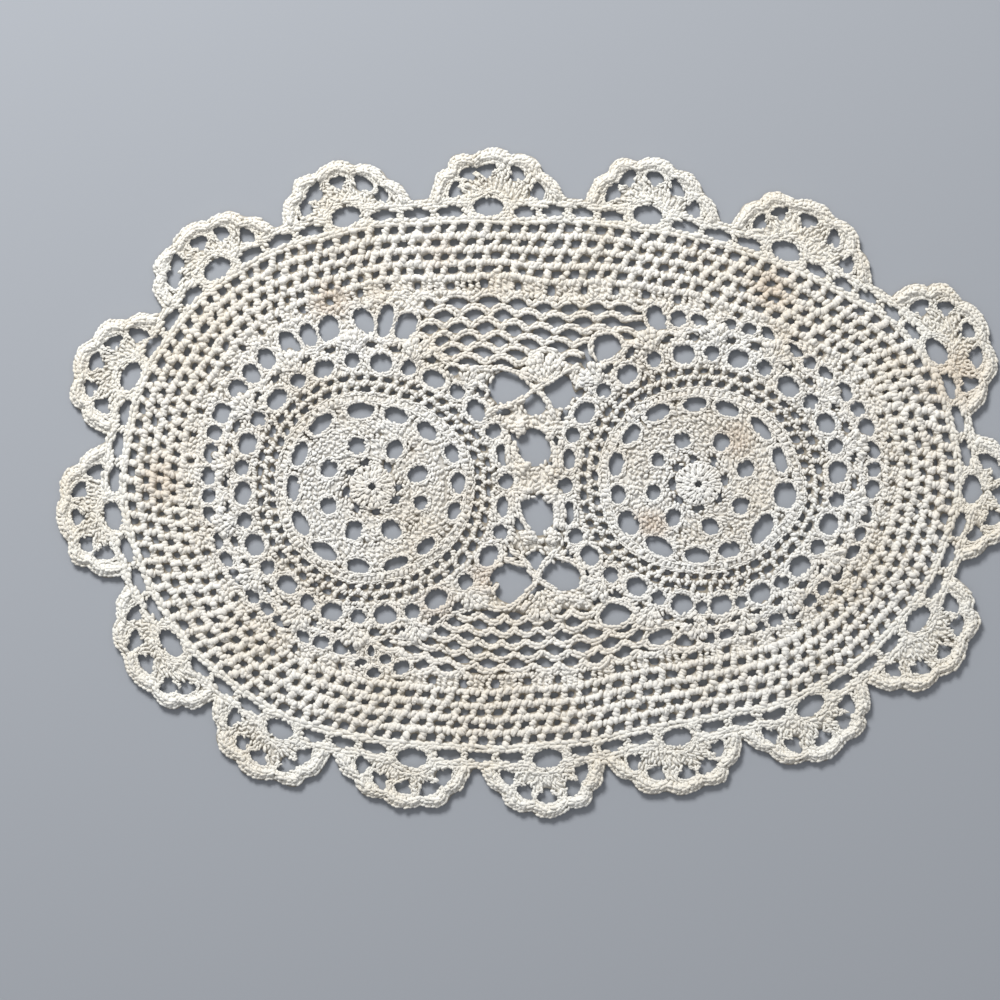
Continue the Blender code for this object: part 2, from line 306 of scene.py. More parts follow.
# Shells, clockwise from the top left: hole at the base, reach of the foot towards the shell
# before and after, height, slots up to the next shell.
SHELLS = (
    (-55.7, 78.2, 16.8, 18.6, 16.3, 3),
    (-14.1, 81.2, 16.1, 21.8, 17.3, 4),
    (33.0, 78.7, 17.6, 19.6, 16.9, 3),
    (73.3, 68.0, 17.0, 24.5, 17.0, 5),
    (117.1, 38.7, 19.5, 19.7, 17.3, 3),
    (127.3, -1.8, 15.0, 19.5, 14.6, 3),
    (111.9, -39.6, 14.8, 22.5, 18.0, 3),
    (80.3, -65.0, 16.2, 21.0, 16.1, 3),
    (41.3, -74.1, 17.9, 21.0, 17.2, 3),
    (3.5, -80.6, 15.8, 19.2, 16.9, 3),
    (-36.6, -80.0, 16.6, 21.0, 15.2, 3),
    (-75.3, -71.5, 16.0, 19.8, 16.4, 3),
    (-106.7, -46.6, 19.0, 20.0, 15.8, 3),
    (-123.9, -9.1, 16.6, 19.9, 16.6, 3),
    (-118.4, 31.4, 17.0, 18.4, 17.4, 3),
    (-93.5, 63.0, 18.0, 19.6, 15.3, 3),
)
STEPS_PER_SHELL = 40            # of the table of the base line


def ramp(value, low, high):
    return np.clip((value - low) / (high - low), 0.0, 1.0)


def apart(degrees, others):
    """Angle between two directions, at most 180 degrees."""
    return np.abs((degrees - others + 180.0) % 360.0 - 180.0)


def between(angles):
    """Middle and half gap between neighbouring angles of a round."""
    following = np.append(angles[1:], angles[0] + 360.0)
    return (angles + following) / 2.0, (following - angles) / 2.0


def unit(vectors):
    return vectors / np.maximum(np.linalg.norm(vectors, axis=1), 1e-9)[:, None]


def left_of(directions):
    return np.column_stack((-directions[:, 1], directions[:, 0]))


def way(degrees):
    """Directions at angles."""
    angle = np.radians(degrees)
    return np.stack((np.sin(angle), np.cos(angle)), axis=-1)


def heading(ways):
    """Angles of directions."""
    return np.degrees(np.arctan2(ways[..., 0], ways[..., 1]))


def turned(degrees):
    """Directions along an oval and out of it, when its height points at an angle."""
    return way(degrees + np.array((90.0, 0.0)))


def ellipse(half_width, half_height, steps=24):
    """Closed ellipse round the origin."""
    return way(np.arange(steps) * 360.0 / steps) * (half_width, half_height)


def curves(start, end, leave, arrive, steps):
    """Points of curves from starts to ends, and their slopes, which are given at both ends."""
    share = (np.arange(steps) / steps)[:, None]
    square = 3.0 * (end - start) - 2.0 * leave - arrive
    cube = 2.0 * (start - end) + leave + arrive
    return (start + leave * share + square * share ** 2 + cube * share ** 3,
            leave + 2.0 * square * share + 3.0 * cube * share ** 2)


def smooth_path(points):
    """Smooth curve through a few points, as an array of points."""
    points = np.array(points)
    points = np.vstack((2.0 * points[0] - points[1], points, 2.0 * points[-1] - points[-2]))
    before, here, after, beyond = (points[k:len(points) - 3 + k, None] for k in range(4))
    path, _ = curves(here, after, (after - before) / 2.0, (beyond - here) / 2.0, CURVE_STEPS)
    return np.vstack((path.reshape(-1, 2), points[-2]))


def lengths_along(path):
    """How far each point of a path is from its start, along it."""
    steps = np.linalg.norm(np.diff(path, axis=0), axis=1)
    return np.concatenate(((0.0,), np.cumsum(steps)))


def resample(path, pitch, closed=False):
    """Points at an even spacing close to the pitch, along a path."""
    if closed:
        path = np.vstack((path, path[0]))
    along = lengths_along(path)
    places = np.linspace(0.0, along[-1], max(1, round(along[-1] / pitch)) + 1)
    return np.column_stack([np.interp(places, along, column) for column in path.T])


def even_steps(path, pitch, closed):
    """Where even steps along a path start, and the way from each to the next."""
    points = resample(path, pitch, closed)
    return points[:-1], np.diff(points, axis=0)


def runs(points, keep):
    """The stretches of a path whose points are kept."""
    cuts = np.flatnonzero(np.diff(keep.astype(int))) + 1
    return [stretch for stretch, kept in zip(np.split(points, cuts), np.split(keep, cuts))
            if kept[0] and len(stretch) > 3]


# ---------------- stitches

class Work:
    """Legs of one piece, the spots round which cloth lies under them, and its openings."""

    def __init__(self, sharing=None):
        """A work may share the openings of another one, and is then cut by them too."""
        self.legs = []
        self.spots = []
        self.openings = sharing.openings if sharing else []

    def leg(self, start, end, height, radius, lift, stray=JITTER, climb=0.0):
        """Legs between arrays of points: each climbs from a height, arched by the lift."""
        low, high, *others = (np.broadcast_to(value, len(start))
                              for value in (height, height + climb, radius, lift, stray))
        self.legs.append(np.column_stack((start, low, end, high, *others)))

    def cloth(self, points, reach):
        """The cloth reaches this far round each of the points."""
        self.spots.append(np.column_stack((points, np.broadcast_to(reach, len(points)))))

    def opening(self, middle, degrees, half_width, half_height):
        """Keeps an oval free: its height points at the angle."""
        self.openings.append((*middle, degrees, half_width, half_height))

    def is_free(self, points, grown=0.0):
        """Which points lie in an opening, or within a distance of one."""
        free = np.zeros(len(points), dtype=bool)
        for x, y, degrees, *size in self.openings:
            share = (points - (x, y)) @ turned(degrees).T / (np.array(size) + grown)
            free |= (np.abs(share) ** OPENING_POWER).sum(axis=1) < 1.0
        return free

    def all_legs(self):
        """The legs that don't reach into an opening."""
        legs = np.vstack(self.legs)
        start, end = legs[:, 0:2], legs[:, 3:5]
        crossing = self.is_free((start + end) / 2.0, MIDDLE_CLEAR)
        crossing |= self.is_free(start, END_CLEAR) | self.is_free(end, END_CLEAR)
        return legs[~crossing]


def chain(work, path, width, level=0.0, closed=False):
    """Chain stitches along a path: two slanting strands in each, like a plait."""
    here, along = even_steps(path, CHAIN_PITCH * width, closed)
    across = width * left_of(unit(along))
    climb = 0.12 * width
    for side in (-1.0, 1.0):
        start = here - 0.35 * along + side * 0.06 * across
        end = here + 0.85 * along + side * 0.27 * across
        work.leg(start, end, level + LEG_LEVEL - climb, 0.235 * width, 0.1 * width,
                 0.6 * JITTER, climb)
    work.cloth(resample(path, SPOT_PITCH, closed), 0.42 * width)


def strands(work, middle, direction, width, upright):
    """One slanting strand over each middle, across a cord or treble of this width."""
    side = chance.choice((-1.0, 1.0), len(middle), p=(RIGHT_SHARE, 1.0 - RIGHT_SHARE))
    radius = YARN * width
    reach = ((0.5 * width - radius) * side)[:, None] * left_of(direction) + upright * direction
    work.leg(middle - reach, middle + reach, LEG_LEVEL - 0.1 * width, radius, 0.14 * width)


def posts(work, feet, tops, width, upright=0.3):
    """Trebles from feet to tops: yarn wound up each, one slanting strand above another."""
    along = tops - feet
    length = np.mean(np.linalg.norm(along, axis=1))
    count = max(1, round(length / (0.6 * STITCH + upright)))
    stagger = 0.25 * (np.arange(len(feet)) % 2)[:, None]
    for turn in range(count):
        middle = feet + along * (turn + 0.5 + stagger) / (count + 0.25)
        strands(work, middle, unit(along), width, upright)
    for share in np.linspace(0.0, 1.0, max(2, round(length / SPOT_PITCH))):
        work.cloth(feet + along * share, 0.25 + 0.3 * width)


def knots(work, path, width, closed=False):
    """Tight stitches along a path, each leaning its own way."""
    here, along = even_steps(path, STITCH, closed)
    strands(work, here + 0.5 * along, unit(along), width, 0.35)
    work.cloth(resample(path, SPOT_PITCH, closed), 0.25 + 0.3 * width)


def wraps(work, path, width, pitch, slant, radius, lift, stray=JITTER, closed=False):
    """Yarn laid side by side across a path, arched over it."""
    here, along = even_steps(path, pitch, closed)
    middle = here + 0.5 * along
    width = np.interp(np.linspace(0.0, 1.0, len(middle)), np.linspace(0.0, 1.0, len(width)), width)
    reach = left_of(unit(along)) * (0.5 * width - radius)[:, None] + along * slant
    work.leg(middle - reach, middle + reach, 0.75, radius, lift, stray)
    work.cloth(middle, 0.45 * width)
    work.cloth((middle[:-1] + middle[1:]) / 2.0, 0.45 * width[1:])


def puff(work, foot, degrees, length, lobes, spread, width):
    """Cluster: fat lobes that fan out from one foot, each of strands side by side."""
    steps = max(2, round(length / 1.7))
    fat = width * np.linspace(0.45, 0.95, steps + 1)
    for share in np.linspace(-0.5, 0.5, lobes):
        angle = degrees + spread * share
        across = way(angle - 90.0)
        reach = way(angle) * (length * (1.0 - 0.3 * abs(share)) - 0.5)
        for side in (-0.36, 0.0, 0.36):
            strand = (foot + reach * np.linspace(0.08, 1.0, steps + 1)[:, None]
                      + across * (side * fat)[:, None])
            height = LEG_LEVEL + 0.35 - 0.6 * abs(side) + 0.2 * np.arange(steps) / steps
            work.leg(strand[:-1], strand[1:], height, 0.24 * fat[1:], 0.3, climb=0.2 / steps)
        tip = foot + reach + np.outer((-0.15, 0.15), across) * width
        work.leg(tip[:1], tip[1:], LEG_LEVEL, 0.34 * width, 0.35)
        work.cloth(foot + reach * np.linspace(0.0, 1.0, 12)[:, None], 0.45 * width)


def scatter(work, low, high, keep):
    """Small stitches that lie every way and fill a part of a box."""
    x, y = np.meshgrid(*(np.arange(*ends, FILL_PITCH) for ends in zip(low, high)))
    x = x + 0.5 * FILL_PITCH * (np.arange(len(x)) % 2)[:, None]
    points = np.column_stack((x.ravel(), y.ravel()))
    points = points[keep(points)]
    points = points + chance.normal(0.0, 0.2, points.shape)
    turn = chance.uniform(0.0, math.pi, len(points))
    reach = 0.7 * np.column_stack((np.cos(turn), np.sin(turn)))
    work.leg(points - reach, points + reach, LEG_LEVEL - 0.15, 0.5, 0.2)
    work.cloth(points, 0.8 * FILL_PITCH)


def rim(work, middle, degrees, half_width, half_height, width):
    """Opening with a ring of chain round it; its height points at an angle."""
    edge = ellipse(half_width + 0.5 * width, half_height + 0.5 * width)
    chain(work, middle + edge @ turned(degrees), width, level=0.1, closed=True)
    work.opening(middle, degrees, half_width, half_height)


# ---------------- medallions

class Medallion:
    """Places on one medallion, by radius and angle. Its facts are its attributes."""

    def __init__(self, facts):
        vars(self).update({name: np.array(fact, dtype=float) for name, fact in facts.items()})
        self.stretch = 1.0 + self.widening * np.array((1.0, -1.0))
        self.middles = self.windows[:, 0]
        self.clusters, self.half_spans = between(self.middles)

    def rise(self, degrees):
        """How much further out the round of windows lies at an angle."""
        return np.interp(degrees, self.middles, self.windows[:, 1], period=360.0)

    def spot(self, radius, degrees):
        """Points on a round, where the rounds are stretched as the doily lies."""
        radius, degrees = np.atleast_1d(*np.broadcast_arrays(radius, degrees))
        ring = np.interp(degrees, self.shields[:, 0], self.shields[:, 3], period=360.0)
        far = ramp(radius, *WINDOW_SHIFT)
        radius = (radius + ring * ramp(radius, *RING_SHIFT) * (1.0 - far)
                  + self.rise(degrees) * far)[:, None]
        return (self.place + self.drift * (radius / WINDOW_RADIUS)
                + self.stretch * radius * way(degrees))

    def around(self, points):
        """Radius of points among the outer rounds, and their angle."""
        steps = (points - self.place - OUTER_DRIFT * self.drift) / self.stretch
        degrees = heading(steps) % 360.0
        return np.linalg.norm(steps, axis=1) - self.rise(degrees), degrees

    def round(self, radius, step=4.0):
        return self.spot(radius, np.arange(0.0, 360.0, step))

    def opening(self, work, radius, degrees, lean, size):
        """Opening on a round, leaning from the way outwards."""
        work.opening(self.spot(radius, degrees)[0], degrees + lean, *size)

    def rim(self, work, radius, degrees, lean, size, width):
        """The same with a rim."""
        rim(work, self.spot(radius, degrees)[0], degrees + lean, *size, width)


def centre_disc(work, medallion):
    """Low dome of two rings of short plaits round a small hole."""
    for inner, outer, count, level in DISC_RINGS:
        for degrees in np.arange(count) * 360.0 / count:
            plait = medallion.spot((inner, outer), (degrees, degrees + 4.0))
            chain(work, plait, width=2.1, level=level)
    chain(work, medallion.round(DISC_HOLE + 0.6, step=20.0), width=1.2, level=0.45, closed=True)
    chain(work, medallion.round(DISC_EDGE, step=10.0), width=1.5, level=0.1, closed=True)
    work.opening(medallion.place, 0.0, DISC_HOLE, DISC_HOLE)


def treble_fans(work, medallion, angles, radii, margins, spacing, fewest):
    """Fans of trebles between the openings of a round. The margins keep their feet and tops
    off the openings, and the spacing is half of what lies between two trebles, in degrees."""
    for middle, half in zip(*between(angles)):
        share = np.linspace(-1.0, 1.0, max(fewest, round(half / spacing)))
        feet, tops = (medallion.spot(radius, middle + (half - margin) * share)
                      for radius, margin in zip(radii, margins))
        posts(work, feet, tops, width=1.8)


def petals(work, medallion):
    """Petals between the notches, each a fan of trebles."""
    treble_fans(work, medallion, medallion.notches, PETAL_RADII, margins=(6.0, 1.5),
                spacing=3.6, fewest=5)
    for degrees in medallion.notches:
        size = chance.uniform(0.85, 1.15, 2) * NOTCH_HOLE
        medallion.opening(work, NOTCH_RADIUS, degrees, chance.normal(0.0, 15.0), size)


def square_round(work, medallion):
    """Dense trebles round square holes."""
    treble_fans(work, medallion, medallion.squares[:, 0], SQUARE_RADII, margins=(8.0, 5.5),
                spacing=3.4, fewest=4)
    for degrees, radius, half_width, half_height in medallion.squares:
        medallion.rim(work, radius, degrees, chance.normal(0.0, 12.0),
                      (1.12 * half_width, 1.08 * half_height), width=1.4)
    knots(work, medallion.round(SQUARE_EDGE, step=6.0), width=1.7, closed=True)


def shield_round(work, medallion):
    """Dense trebles up to the ring, round the shield holes."""
    inner, outer = SHIELD_RADII
    degrees = np.arange(SHIELD_POSTS) * 360.0 / SHIELD_POSTS
    for low, high, shift in ((inner, outer, 0.0), (outer + 0.4, RING_INNER - 0.4, 2.0)):
        posts(work, medallion.spot(low, degrees + shift),
              medallion.spot(high, degrees + shift + 1.0), width=1.9)
    for middle, half, low, rise in medallion.shields:
        radius = (low + RING_INNER) / 2.0
        size = (math.radians(half) * radius, (RING_INNER + 0.8 * rise - low) / 2.0)
        medallion.rim(work, radius, middle, chance.normal(0.0, 3.0), size, width=1.4)


def ring(work, medallion):
    """Solid ring: yarn side by side across it, between two lines of chain."""
    wraps(work, medallion.round((RING_INNER + RING_OUTER) / 2.0), (RING_OUTER - RING_INNER,),
          pitch=1.4, slant=0.1, radius=0.68, lift=0.55, closed=True)
    chain(work, medallion.round(RING_INNER + 0.5), width=1.4, level=0.25, closed=True)
    chain(work, medallion.round(RING_OUTER - 0.2), width=1.3, level=0.2, closed=True)


def net_rounds(work, medallion):
    """Two rounds of small square mesh."""
    for turn in (0, 1):
        low, high = NET_CORDS[turn:turn + 2]
        degrees = (np.arange(NET_POSTS) + 0.5 * turn) * 360.0 / NET_POSTS
        degrees = degrees + chance.normal(0.0, 0.5, NET_POSTS)
        posts(work, medallion.spot(low, degrees), medallion.spot(high, degrees + 1.6),
              chance.uniform(1.8, 2.3, NET_POSTS))
        knots(work, medallion.round(high), width=1.9, closed=True)


def window_round(work, medallion):
    """Large and small windows in turn, then the chain band over them."""
    clusters, half_spans = medallion.clusters, medallion.half_spans
    for side in (-1.0, 1.0):
        for foot, top in ((0.2, 0.34), (0.4, 0.48)):
            posts(work, medallion.spot(NET_CORDS[-1] + 0.4, clusters + side * foot * half_spans),
                  medallion.spot(BAND_RADIUS - 0.4, clusters + side * top * half_spans),
                  width=2.0)
    for degrees, half_span in zip(clusters, half_spans):
        room = math.radians(half_span) * WINDOW_RADIUS - WINDOW_HOLE[0] - 1.0
        half = min(SMALL_WINDOW, room)
        medallion.rim(work, WINDOW_RADIUS + 0.5, degrees, chance.normal(45.0, 12.0),
                      (half, half), width=1.1)
    for degrees in medallion.middles:
        pressed = apart(degrees, medallion.waist) < PRESSED_REACH
        hole = WAIST_WINDOW if pressed else WINDOW_HOLE
        size = chance.uniform(0.9, 1.1, 2) * hole
        medallion.rim(work, WINDOW_RADIUS + 0.1, degrees, chance.normal(0.0, 5.0), size,
                      width=1.7)
    knots(work, medallion.round(BAND_RADIUS), width=2.1, closed=True)


def slit_angles(medallion):
    return np.add.outer(medallion.middles, SLIT_SIDES).ravel()


def clusters_round(work, medallion):
    """A cluster over each small window, and a chain from cluster to cluster."""
    for degrees in medallion.clusters:
        if apart(degrees, medallion.waist) >= WAIST_REACH:
            puff(work, medallion.spot(BAND_RADIUS - 0.2, degrees + 1.0)[0], degrees + 4.0,
                 CLUSTER_RADIUS - BAND_RADIUS + 0.6, lobes=4, spread=92.0, width=2.6)
    first = medallion.waist + WAIST_REACH
    degrees = np.arange(first, first + 360.0 - 2.0 * WAIST_REACH, 2.0) % 360.0
    closest = apart(degrees[:, None], medallion.middles).min(axis=1)
    height = LOOP_LOW + (LOOP_HIGH - LOOP_LOW) * ramp(closest, 0.0, 9.0)
    chain(work, medallion.spot(height, degrees), width=1.8, level=0.1)
    knots(work, medallion.spot(BAND_RADIUS + 1.5, degrees), width=1.8)
    for degrees in slit_angles(medallion):
        size = chance.uniform(0.7, 1.1, 2) * SLIT_HOLE
        medallion.opening(work, SLIT_RADIUS, degrees, 0.0, size)


def medallion_work(medallion):
    work = Work()
    for stitch in (centre_disc, petals, square_round, shield_round, ring, net_rounds,
                   window_round, clusters_round):
        stitch(work, medallion)
    return work


# ---------------- oval

class Oval:
    """The smooth line through the shell holes as a table, read by shell position or by
    length along it. A position counts shells, so 2.5 is halfway from the third on."""

    def __init__(self):
        holes = np.array([shell[:2] for shell in SHELLS])
        a, b, c, d = (np.roll(holes, shift, axis=0)[:, None] for shift in (1, 0, -1, -2))
        first, span, last = (np.linalg.norm(step, axis=2, keepdims=True)
                             for step in (b - a, c - b, d - c))
        leave = span * ((b - a) / first * span + (c - b) / span * first) / (first + span)
        arrive = span * ((c - b) / span * last + (d - c) / last * span) / (span + last)
        points, slope = (np.vstack((rows.reshape(-1, 2), rows[0, :1]))
                         for rows in curves(b, c, leave, arrive, STEPS_PER_SHELL))
        self.points = points
        self.out_way = left_of(unit(slope))
        self.positions = np.arange(len(points)) / STEPS_PER_SHELL
        self.lengths = lengths_along(points)
        self.length = self.lengths[-1]

    def at(self, position, out):
        """Points beside the base line at shell positions."""
        position, out = np.atleast_1d(*np.broadcast_arrays(position, out))
        x, y, out_x, out_y = (np.interp(position % len(SHELLS), self.positions, column)
                              for column in (*self.points.T, *self.out_way.T))
        return np.column_stack((x + out * out_x, y + out * out_y))

    def turn(self, share, out):
        """Points beside the base line at shares of its whole length, with the sag."""
        share = share % 1.0
        place, half, depth = SAG
        dip = np.cos(np.clip((share - place) / half, -1.0, 1.0) * math.pi / 2.0) ** 2
        position = np.interp(share, self.lengths / self.length, self.positions)
        return self.at(position, out + depth * dip * ramp(-out, *SAG_RANGE))

    def loop(self, out, count=320):
        return self.turn(np.arange(count) / count, out)

    def out(self, points):
        """How far out of the base line points lie, by the nearest of every second point."""
        steps = points[:, None] - self.points[None, :-1:2]
        nearest = 2 * np.argmin((steps ** 2).sum(axis=2), axis=1)
        return ((points - self.points[nearest]) * self.out_way[nearest]).sum(axis=1)

    def crossing(self, medallion, degrees, out):
        """Where a ray from the middle of a medallion meets the loop at a distance out."""
        loop = self.loop(out, count=1280)
        return loop[np.argmin(apart(heading(loop - medallion.place), degrees))]

    def opening(self, work, position, out, half_width, half_height):
        """Opening that lies along the base line."""
        foot, tip = self.at(position, (out, out + 1.0))
        work.opening(foot, heading(tip - foot), half_width, half_height)


def shell_spacing(index):
    return math.dist(SHELLS[index % len(SHELLS)][:2], SHELLS[(index + 1) % len(SHELLS)][:2])


class Shell:
    """Places on one shell: fan is an angle in degrees from foot to foot."""

    def __init__(self, oval, index):
        self.oval = oval
        self.index = index
        before, after, self.height = SHELLS[index][2:5]
        self.middle = (after - before) / 2.0
        self.half_width = (after + before) / 2.0

    def edge(self, fan, notched):
        """Distances along and out from the base hole to the outer edge."""
        fan = np.radians(fan)
        lobe = np.abs(np.sin(SHELL_LOBES * (fan + math.pi / 2.0)))
        in_foot = np.abs(fan) > math.pi * (0.5 - 0.5 / SHELL_LOBES)
        notch = (1.0 - lobe) * np.where(in_foot, -0.5, 1.0) if notched else EVEN_NOTCH
        reach = 1.0 - LOBE_NOTCH * notch
        shoulder = np.where(fan > 0.0, SHOULDER_AFTER, SHOULDER_BEFORE)
        wide = np.copysign(np.abs(np.sin(fan)) ** shoulder, fan)
        high = np.abs(np.cos(fan)) ** shoulder
        return np.column_stack((self.middle + self.half_width * reach * wide,
                                VALLEY_LEVEL + (self.height - VALLEY_LEVEL) * reach * high))

    def place(self, local):
        """Plan points of distances along and out from the base hole."""
        along, out = local.T
        spacing = np.where(along > 0.0, shell_spacing(self.index), shell_spacing(self.index - 1))
        return self.oval.at(self.index + along / spacing, out)

    def inset(self, fan, depth, notched=True):
        """Points a depth inside the outer edge, towards the base hole."""
        local = self.edge(fan, notched)
        length = np.linalg.norm(local, axis=1)
        return self.place(local * (1.0 - np.minimum(depth / length, 0.9))[:, None])


def mesh_rounds(work, oval):
    """Staggered mesh between even cords, two cells wide for every repeat of the band."""
    cells = 2 * OVAL_REPEATS
    for row, (high, low) in enumerate(zip(MESH_CORDS[:-1], MESH_CORDS[1:])):
        share = (np.arange(cells) + 0.5 * (row % 2)) / cells
        share = share + chance.normal(0.0, 0.3, cells) / oval.length
        posts(work, oval.turn(share, low), oval.turn(share + 1.3 / oval.length, high),
              chance.uniform(2.5, 3.2, cells))
        knots(work, oval.loop(low), width=2.9, closed=True)


def band_round(work, oval):
    """Groups of four trebles with a slit between two groups."""
    low, high = BAND_CORD, MESH_CORDS[-1]
    for k in range(4):
        share = (np.arange(OVAL_REPEATS) + 0.14 + 0.19 * k) / OVAL_REPEATS
        posts(work, oval.turn(share, low), oval.turn(share, high), width=2.0)
    knots(work, oval.loop(low), width=2.1, closed=True)


def outer_trebles(work, oval, medallion):
    """The cloth between a medallion and the band, with three openings over each window: the
    strips between them are trebles."""
    first, last = medallion.trebles
    sweep = (last - first) % 360.0

    def keep(points):
        radius, degrees = medallion.around(points)
        beyond_start = (degrees - first + TREBLE_MARGIN) % 360.0
        return ((radius > BAND_RADIUS + 0.5) & (beyond_start < sweep + 2.0 * TREBLE_MARGIN)
                & (oval.out(points) < BAND_CORD + 0.6))

    scatter(work, medallion.place - TREBLE_BOX, medallion.place + TREBLE_BOX, keep)
    for degrees in medallion.middles:
        if (degrees - first) % 360.0 > sweep:
            continue
        for side, turn, half_width, half_height in TREBLE_HOLES:
            angle = degrees + side
            far = medallion.around(oval.crossing(medallion, angle, BAND_CORD - 1.5)[None])[0][0]
            half_height = np.clip(0.5 * (far - TREBLE_FOOT), 1.6, 1.5 * half_height)
            size = chance.uniform(0.88, 1.1, 2) * (half_width, half_height)
            medallion.rim(work, TREBLE_FOOT + half_height, angle, turn + chance.normal(0.0, 10.0),
                          size, width=1.3)
    for degrees in slit_angles(medallion):
        medallion.opening(work, SLIT_RADIUS, degrees, 0.0, SLIT_HOLE)


def nearest_radius(medallions, points):
    """Radius of points in the medallion that they are closest to."""
    return np.min([medallion.around(points)[0] for medallion in medallions], axis=0)


def waist(work, medallions):
    """Small stitches between the medallions, round the open gaps."""
    for x, y, *shape in WAIST_GAPS:
        work.opening((x, y), *shape)
    for x, y, *shape in LOOP_GAPS:
        rim(work, (x, y), *shape)
    scatter(work, *WAIST_BOX, lambda points: nearest_radius(medallions, points) > BAND_RADIUS)


def loop_rows(work, oval, medallions):
    """Rows of chain loops: each hangs between two loops of the row outside it."""
    for row, (first, last, out_first, out_last) in enumerate(LOOP_ROWS):
        share = np.arange(first, last, 0.001)
        turn = math.pi * (LOOPS_PER_TURN * share + 0.5 * row + 0.12 * np.sin(70.0 * share + row))
        late = ((share - first) / (last - first)) ** 3
        rise = (LOOP_RISE - 1.6 * late) * np.abs(np.sin(turn)) ** 0.6
        points = oval.turn(share, out_first + (out_last - out_first) * late + rise)
        clear = nearest_radius(medallions, points) > LOOP_HIGH - 0.8
        for stretch in runs(points, clear & ~work.is_free(points, 0.6)):
            chain(work, stretch, width=2.3)


def waist_cords(work):
    """Crossed cords, clusters and bobbles of the waist."""
    for points in WAIST_CORDS:
        chain(work, smooth_path(points), width=2.1, level=0.5)
    for x, y, *shape in WAIST_PUFFS:
        puff(work, (x, y), *shape, width=2.8)


def slot_round(work, oval):
    """Oval slots between the shell holes, between two thick cords."""
    low, high = SLOT_CORDS
    chain(work, oval.loop(low + 0.4), width=2.8, closed=True)
    half = SHELL_HOLE_SIZE[0]
    for index, (*_, slots) in enumerate(SHELLS):
        spacing = shell_spacing(index)
        first = half + POST_WIDTH / 2.0
        pitch = (spacing - 2.0 * first) / slots
        for slot in range(slots + 1):
            along = first + pitch * slot + np.array(POST_TREBLES)
            posts(work, *(oval.at(index + along / spacing, out) for out in SLOT_CORDS),
                  width=1.9)
        along = index + np.linspace(half + 0.2, spacing - half - 0.2, 24) / spacing
        for out in (high - 0.8, high + 0.2):
            chain(work, oval.at(along, out), width=2.2)
        for slot in range(slots):
            position = index + (first + pitch * (slot + 0.5)) / spacing
            oval.opening(work, position, (low + high) / 2.0, (pitch - POST_WIDTH) / 2.0 + 0.7,
                         SLOT_HALF_HEIGHT)


def shell_work(fans, rims, oval, index):
    """One shell: trebles round its base hole, and a thick rim of lobes."""
    shell = Shell(oval, index)
    half_width, half_height = SHELL_HOLE_SIZE
    # Base hole and the yarn round it.
    oval.opening(fans, index, SHELL_HOLE_OUT, half_width, half_height)
    for grown, width in HOLE_CHAINS:
        edge = ellipse(half_width + grown, half_height + grown) + (0.0, SHELL_HOLE_OUT)
        edge = edge[edge[:, 1] > SLOT_CORDS[0]]
        edge = edge[np.argsort(heading(edge - (0.0, SLOT_CORDS[0])))]
        chain(fans, shell.place(edge), width, level=0.1)
    # Trebles of the fan, in groups that join the rim between the lobes.
    fan = np.linspace(-86.0, 86.0, FAN_TREBLES)
    feet = shell.place(way(fan) * (half_width + FAN_FOOT, half_height + FAN_FOOT))
    posts(fans, feet, shell.inset(fan, RIM_WIDTH - 0.3, notched=False), width=1.7, upright=0.6)
    # Thick rim of five lobes, with a hole under each.
    width = 180.0 / SHELL_LOBES
    swell = np.sin(math.pi * np.linspace(0.03, 0.97, LOBE_STEPS))
    for lobe in range(SHELL_LOBES):
        first = -90.0 + lobe * width
        fan = np.linspace(first + 0.5, first + width - 0.5, LOBE_STEPS)
        wraps(rims, shell.inset(fan, RIM_WIDTH / 2.0), RIM_WIDTH * (0.78 + 0.30 * swell),
              pitch=1.1, slant=0.35, radius=0.66, lift=1.1, stray=0.1)
        for share, level in RIM_CHAINS:
            chain(rims, shell.inset(fan, RIM_WIDTH * share), width=2.0, level=level)
        middle = np.array((first + width / 2.0 + chance.normal(0.0, 2.0),))
        near = shell.inset(middle, RIM_WIDTH + LOBE_HOLE[1] - 0.4, notched=False)[0]
        outward = unit(shell.inset(middle, 0.0, notched=False) - near)[0]
        degrees = heading(outward) + chance.normal(0.0, 6.0)
        hole_width, hole_height = chance.uniform(0.85, 1.15, 2) * LOBE_HOLE
        rim(fans, near, degrees, hole_width, hole_height, width=1.4)
        fans.opening(near - outward * 1.3, degrees, 0.45 * hole_width, hole_height)


# ---------------- meshes

